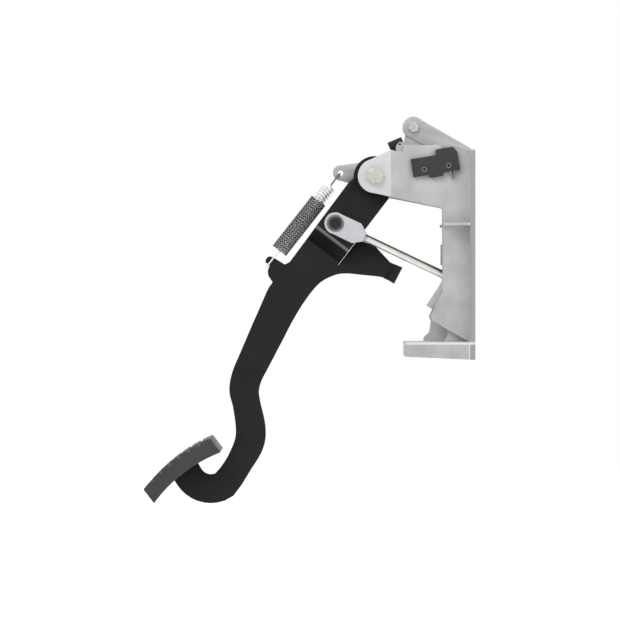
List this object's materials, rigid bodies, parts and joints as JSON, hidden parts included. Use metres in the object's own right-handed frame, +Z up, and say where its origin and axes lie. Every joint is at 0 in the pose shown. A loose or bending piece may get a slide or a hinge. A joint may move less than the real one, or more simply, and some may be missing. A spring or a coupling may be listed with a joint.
{
  "type": "clutch pedal assembly",
  "caption": "Hanging clutch pedal on a cast firewall bracket, with an eye-ended pushrod, return spring in a sleeve, pedal switch and rest buffer.",
  "frame": {"origin": "centre of the four firewall bolt holes, on the flange's mounting face", "axes": "+X towards the firewall and along its bolts, +Y to the driver's left, +Z up"},
  "size_m": [0.3402, 0.102, 0.4031],
  "materials": {
    "cast_aluminium": "as cast, fine sand texture",
    "black_coated_steel": "satin black coating",
    "plated_steel": "pale yellowish zinc plating",
    "bright_zinc_steel": "bright zinc plating",
    "eye_zinc": "matt grey zinc plating",
    "dark_steel": "phosphated",
    "bush_polymer": "moulded bearing polymer",
    "grey_polymer": "moulded, satin",
    "pad_rubber": "matt, worn lighter on the ribs",
    "buffer_rubber": "matt",
    "switch_plastic": "fine matt moulding",
    "plunger_plastic": "smooth moulding",
    "spring_steel": "bright drawn wire",
    "sleeve_braid": "black and grey braided filaments",
    "contact_metal": "tinned brass"
  },
  "bodies": {
    "bracket": {"pedal_bracket": "cast_aluminium", "pivot_bolt": "plated_steel", "pivot_nut": "plated_steel", "pivot_washer": "plated_steel", "pivot_sleeve": "bright_zinc_steel", "stop_buffer": "buffer_rubber", "ear_bolt": "plated_steel", "ear_nut": "plated_steel", "switch_body": "switch_plastic", "switch_rivets": "bright_zinc_steel", "switch_terminals": "contact_metal"},
    "pedal": {"pedal_arm": "black_coated_steel", "hub_tube": "black_coated_steel", "hub_bushes": "bush_polymer", "switch_cam": "black_coated_steel", "rod_stud": "black_coated_steel", "stud_clip": "dark_steel", "footplate": "black_coated_steel", "pedal_pad": "pad_rubber"},
    "rod": {"rod_eye": "eye_zinc", "eye_bush": "grey_polymer", "pushrod": "bright_zinc_steel"},
    "spring": {"return_spring": "spring_steel"},
    "sleeve": {"spring_sleeve": "sleeve_braid"},
    "plunger": {"switch_plunger": "plunger_plastic"}
  },
  "joints": [
    {"name": "pedal_swing", "type": "hinge", "parent": "bracket", "child": "pedal", "pos_m": [-0.102, 0, 0.0808], "axis": [0, -1, 0], "range_deg": [0, 27.2], "stiffness_Nm_per_rad": 2.5, "springref_deg": -51.57},
    {"name": "pushrod_swing", "type": "hinge", "parent": "pedal", "child": "rod", "pos_m": [-0.14266, 0, 0.03268], "axis": [0, -1, 0], "range_deg": [-28.8, 0]},
    {"name": "spring_swing", "type": "hinge", "parent": "bracket", "child": "spring", "pos_m": [-0.1369, 0.018, 0.0861], "axis": [0, -1, 0], "range_deg": [0, 29.3]},
    {"name": "spring_stretch", "type": "slide", "parent": "spring", "child": "sleeve", "axis": [-0.6181, 0, -0.7861], "range_m": [0, 0.0162], "deforming": ["return_spring"]},
    {"name": "plunger_slide", "type": "slide", "parent": "bracket", "child": "plunger", "axis": [-0.9869, 0, -0.1616], "range_m": [0, 0.0024]}
  ],
  "couplings": [
    {"joint": "pushrod_swing", "follows": "pedal_swing", "ratio": -1.0516},
    {"joint": "spring_swing", "follows": "pedal_swing", "ratio": 1.0698},
    {"joint": "spring_stretch", "follows": "pedal_swing", "m_per_rad": 0.033784},
    {"joint": "plunger_slide", "follows": "pedal_swing", "m_per_rad": 0.004845}
  ]
}
